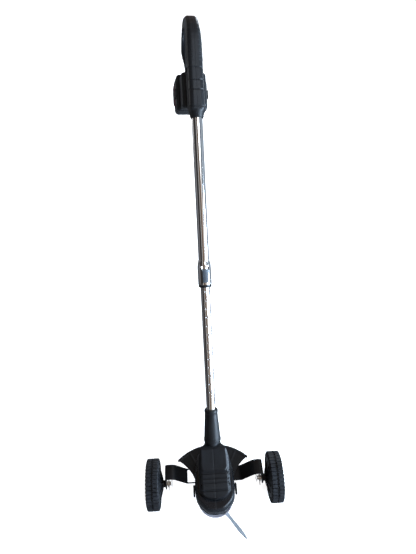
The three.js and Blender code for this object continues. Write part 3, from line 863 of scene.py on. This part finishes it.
def tyre_mesh():
    """A carcass with two rows of blocks that meet in a zigzag, and lugs over the shoulders."""
    mid, half = WHEEL_X, TYRE_HALF
    base = WHEEL_R - TREAD_DEPTH
    profile = [
        (47.3, mid - half + 1),
        (50, mid - half + 0.3),
        (53, mid - half + 1.4),
        (base, mid - half + 3),
        (base + 0.4, mid),
        (base, mid + half - 3),
        (53, mid + half - 1.4),
        (50, mid + half - 0.3),
        (47.3, mid + half - 1),
    ]
    rings = [circle(r, x, 136) for r, x in softly(profile, 1.0, 3)]
    verts, faces = skin(rings, loop=True)
    pitch = 2 * math.pi / LUGS

    def place(angle, x, radius):
        return (radius * math.cos(angle), radius * math.sin(angle), x)

    for k in range(LUGS):
        for side in (-1, 1):
            start = pitch * (k + (0.5 if side > 0 else 0.0))
            low, high = start + 0.09 * pitch, start + 0.91 * pitch
            centre = (low + high) / 2
            inner, peak = 0.9 * side, 3.9 * side
            top = [
                (low, mid + inner, WHEEL_R - 0.15),
                (centre, mid + peak * 0.9, WHEEL_R),
                (high, mid + inner, WHEEL_R - 0.15),
                (high, mid + side * 13.0, WHEEL_R - 0.3),
                (centre, mid + side * 13.6, WHEEL_R - 0.2),
                (low, mid + side * 13.0, WHEEL_R - 0.3),
            ]
            flare = 0.05 * pitch
            foot = []
            for i, (a, x, _) in enumerate(top):
                outwards = 0.5 * side if i > 2 else -0.5 * side
                wider = flare if a > centre else -flare if a < centre else 0
                foot.append((a + wider, x + outwards, base - 0.6))
            rings = [[place(*p) for p in foot], [place(*p) for p in top]]
            more, quads = skin(rings)
            faces += [[i + len(verts) for i in face] for face in quads]
            verts += more
            # The lug that wraps the shoulder.
            near, far = centre - 0.27 * pitch, centre + 0.27 * pitch
            path = [(12.2, 59.6), (14.6, 58.3), (15.7, 54.5), (15.4, 50.8)]
            under = [(11.6, 56.2), (13.4, 55.6), (14.2, 53.4), (14.2, 51.0)]
            rings = []
            for (x1, r1), (x0, r0) in zip(path, under):
                rings.append(
                    [
                        place(near, mid + side * x1, r1),
                        place(far, mid + side * x1, r1),
                        place(far, mid + side * x0, r0),
                        place(near, mid + side * x0, r0),
                    ]
                )
            more, quads = skin(rings)
            faces += [[i + len(verts) for i in face] for face in quads]
            verts += more
    return verts, faces


def hub_profile():
    face, outer, boss = WHEEL_X - TYRE_HALF, WHEEL_X + TYRE_HALF, 120.8
    return [
        (5.05, boss),
        (8, boss),
        (9, boss + 7.5, 3),
        (40, face + 1, 2),
        (47, face + 2, 1.5),
        (47, outer - 2, 0.5),
        (44, outer - 2, 0.8),
        (43, WHEEL_X + 2, 4),
        (13, WHEEL_X - 1, 3),
        (11, outer - 1.5, 1),
        (5.05, outer - 1.5),
    ]


def wheel(name, side):
    where = wheel_frame(side)
    verts, faces = tyre_mesh()
    tyre = mesh_object(f"tyre_{name}_form", verts, faces, where, smooth=32)
    stand_in(tyre, f"tyre_{name}")
    stand_in(lathe(f"wheel_hub_{name}_form", hub_profile(), where, 128), f"wheel_hub_{name}")
    for k in range(SPOKES):
        angle = 2 * math.pi * k / SPOKES
        turn = Matrix.Rotation(angle, 4, "Z")
        rib = [
            (12.4, WHEEL_X - 2),
            (42.9, WHEEL_X + 0.5),
            (43.4, WHEEL_X + 10),
            (30, WHEEL_X + 5.5),
            (12.2, WHEEL_X + 11),
        ]
        obj = prism(f"hub_rib_{name}_{k}", rib, -1.3, 1.3, where @ turn, order="xzy")
        extra(rounded(obj, 0.5, 2, 50), f"wheel_{name}", "shell")
        back = [(9.5, 128.6), (38, 135.6), (38, 133.2), (14, 126.2), (9.5, 126.0)]
        inner = prism(f"hub_web_{name}_{k}", back, -1.1, 1.1, where @ turn, order="xzy")
        extra(rounded(inner, 0.4, 2, 50), f"wheel_{name}", "shell")
    low, high = WHEEL_X + 13, WHEEL_X + 14.7
    bead = [(43.6, low), (44.6, high), (46.6, high), (46.9, low)]
    extra(lathe(f"hub_bead_{name}", bead, where, 128), f"wheel_{name}", "shell")
    pin = [
        (0, CLIP_X - 5),
        (4, CLIP_X - 5, 0.8),
        (5, CLIP_X - 4, 0.8),
        (5, 165),
        (9, 165),
        (9, 167, 1),
        (7.5, AXLE_END, 1),
        (0, AXLE_END),
    ]
    axle = lathe(f"axle_{name}_form", pin, where, 64)
    ends = [circle(1.5, h, 20, (0, CLIP_X)) for h in (-9, 9)]
    hole = [[(x, up, along) for x, along, up in ring] for ring in ends]
    cut(axle, mesh_object("pin_hole", *skin(hole), where))
    stand_in(axle, f"axle_{name}")
    near, far = CLIP_X + 1.4, CLIP_X + 3
    washer = [(5.3, near), (9, near), (9, far), (5.3, far)]
    disc = lathe(f"axle_washer_{name}_form", washer, where, 64, radius=0.3)
    stand_in(disc, f"axle_washer_{name}")


# ---- Camera, floor and light.

CAMERA_AT = (-0.0306, -0.3671, 1.1909)
CAMERA_ANGLES = (-2.995, 46.808, 0.727)  # azimuth, elevation and roll in degrees
SENSOR = 36
FOCAL_SHARE = 456.6 / 554  # the focal length as a share of the frame's height


def camera():
    data = bpy.data.cameras.new("camera")
    cam = bpy.data.objects.new("camera", data)
    SCENE.collection.objects.link(cam)
    azimuth, elevation, roll = (math.radians(a) for a in CAMERA_ANGLES)
    back = Vector(
        (
            math.sin(azimuth) * math.cos(elevation),
            -math.cos(azimuth) * math.cos(elevation),
            math.sin(elevation),
        )
    )
    level = Vector((math.cos(azimuth), math.sin(azimuth), 0))
    upward = back.cross(level)
    right = level * math.cos(roll) - upward * math.sin(roll)
    up = level * math.sin(roll) + upward * math.cos(roll)
    cam.matrix_world = Matrix.Translation(CAMERA_AT) @ (
        Matrix((right, up, back)).transposed().to_4x4()
    )
    data.lens = SENSOR * FOCAL_SHARE
    data.sensor_width = SENSOR
    data.clip_start = 0.01
    data.clip_end = 100
    SCENE.camera = cam


def area(name, place, target, size, power, colour):
    data = bpy.data.lights.new(name, "AREA")
    data.shape = "RECTANGLE"
    data.size, data.size_y = size
    data.energy = power
    data.color = colour
    obj = bpy.data.objects.new(name, data)
    SCENE.collection.objects.link(obj)
    obj.location = place
    obj.rotation_mode = "QUATERNION"
    obj.rotation_quaternion = (Vector(target) - Vector(place)).to_track_quat("-Z", "Y")


def studio():
    floor_z = (AXLE[1] - WHEEL_R) * MM
    size = 14.0
    verts = [(-size, -size, 0), (size, -size, 0), (size, size, 0), (-size, size, 0)]
    below_wheels = Matrix.Translation((0, 0, floor_z - 0.0002))
    floor = mesh_object("floor", verts, [(0, 1, 2, 3)], below_wheels)
    mat, tree, bsdf = node_tree("pale_floor")
    bsdf.inputs["Base Color"].default_value = (0.93, 0.93, 0.93, 1)
    bsdf.inputs["Roughness"].default_value = 0.9
    bsdf.inputs["Specular IOR Level"].default_value = 0.0
    bsdf.inputs["Emission Color"].default_value = (1, 1, 1, 1)
    bsdf.inputs["Emission Strength"].default_value = 0.8
    floor.data.materials.append(mat)
    floor.visible_glossy = False

    world = bpy.data.worlds.new("studio")
    SCENE.world = world
    world.use_nodes = True
    tree = world.node_tree
    background = tree.nodes["Background"]
    coords = tree.nodes.new("ShaderNodeTexCoord").outputs["Generated"]
    split = tree.nodes.new("ShaderNodeSeparateXYZ")
    tree.links.new(coords, split.inputs[0])
    across = tree.nodes.new("ShaderNodeMapRange")
    across.inputs["From Min"].default_value = -1
    tree.links.new(split.outputs["X"], across.inputs["Value"])
    # The room that the chrome reflects, from the left wall to the right one.
    bands = [
        (0.00, (0.30, 0.32, 0.36)),
        (0.03, (0.04, 0.036, 0.036)),
        (0.20, (0.03, 0.027, 0.027)),
        (0.24, (0.30, 0.30, 0.32)),
        (0.27, (0.72, 0.72, 0.74)),
        (0.30, (0.80, 0.79, 0.78)),
        (0.33, (0.10, 0.085, 0.075)),
        (0.37, (0.07, 0.055, 0.045)),
        (0.50, (0.28, 0.20, 0.15)),
        (0.60, (0.20, 0.145, 0.115)),
        (0.65, (0.95, 0.95, 0.95)),
        (0.76, (1.00, 1.00, 1.00)),
        (0.80, (0.10, 0.12, 0.15)),
        (0.92, (0.20, 0.25, 0.31)),
        (1.00, (0.50, 0.60, 0.72)),
    ]
    ramp = tree.nodes.new("ShaderNodeValToRGB")
    elements = ramp.color_ramp.elements
    while len(elements) < len(bands):
        elements.new(0.5)
    for element, (position, colour) in zip(elements, bands):
        element.position = position
        element.color = (*colour, 1)
    tree.links.new(across.outputs["Result"], ramp.inputs["Fac"])
    # Below the horizon the room is dim on the left and cool on the right.
    below = tree.nodes.new("ShaderNodeMix")
    below.data_type = "RGBA"
    lift = tree.nodes.new("ShaderNodeMapRange")
    lift.inputs["From Min"].default_value = -0.25
    lift.inputs["From Max"].default_value = 0.05
    tree.links.new(split.outputs["Z"], lift.inputs["Value"])
    tree.links.new(lift.outputs["Result"], below.inputs["Factor"])
    ground = tree.nodes.new("ShaderNodeValToRGB")
    ground.color_ramp.elements[0].color = (0.10, 0.10, 0.11, 1)
    ground.color_ramp.elements[1].color = (0.34, 0.42, 0.52, 1)
    tree.links.new(across.outputs["Result"], ground.inputs["Fac"])
    tree.links.new(ground.outputs["Color"], below.inputs[6])
    tree.links.new(ramp.outputs["Color"], below.inputs[7])
    # The camera itself sees a plain white room.
    path = tree.nodes.new("ShaderNodeLightPath")
    seen = tree.nodes.new("ShaderNodeMix")
    seen.data_type = "RGBA"
    tree.links.new(path.outputs["Is Camera Ray"], seen.inputs["Factor"])
    tree.links.new(below.outputs[2], seen.inputs[6])
    seen.inputs[7].default_value = (1, 1, 1, 1)
    tree.links.new(seen.outputs[2], background.inputs["Color"])
    background.inputs["Strength"].default_value = 1.0

    area("key", (2.0, -0.6, 0.55), (0, 0.2, 0.3), (1.3, 1.5), 210, (0.62, 0.79, 1.0))
    area("sky", (0.9, -0.5, 2.6), (0, 0.2, 0.3), (0.9, 0.9), 14, (0.78, 0.88, 1.0))
    area("rim", (1.4, 2.8, 0.9), (0, 0.4, 0.4), (1.6, 1.2), 70, (0.80, 0.90, 1.0))
    area("left", (-2.2, 2.0, 0.9), (0, 0.3, 0.4), (1.0, 1.4), 6, (0.95, 0.97, 1.0))
    SCENE.view_settings.view_transform = "Standard"


camera()
studio()
outer_tube()
inner_tube()
telescopic_lock()
neck()
screws()
handle()
head()
cutter()
for name, side in (("left", -1), ("right", 1)):
    wheel(name, side)
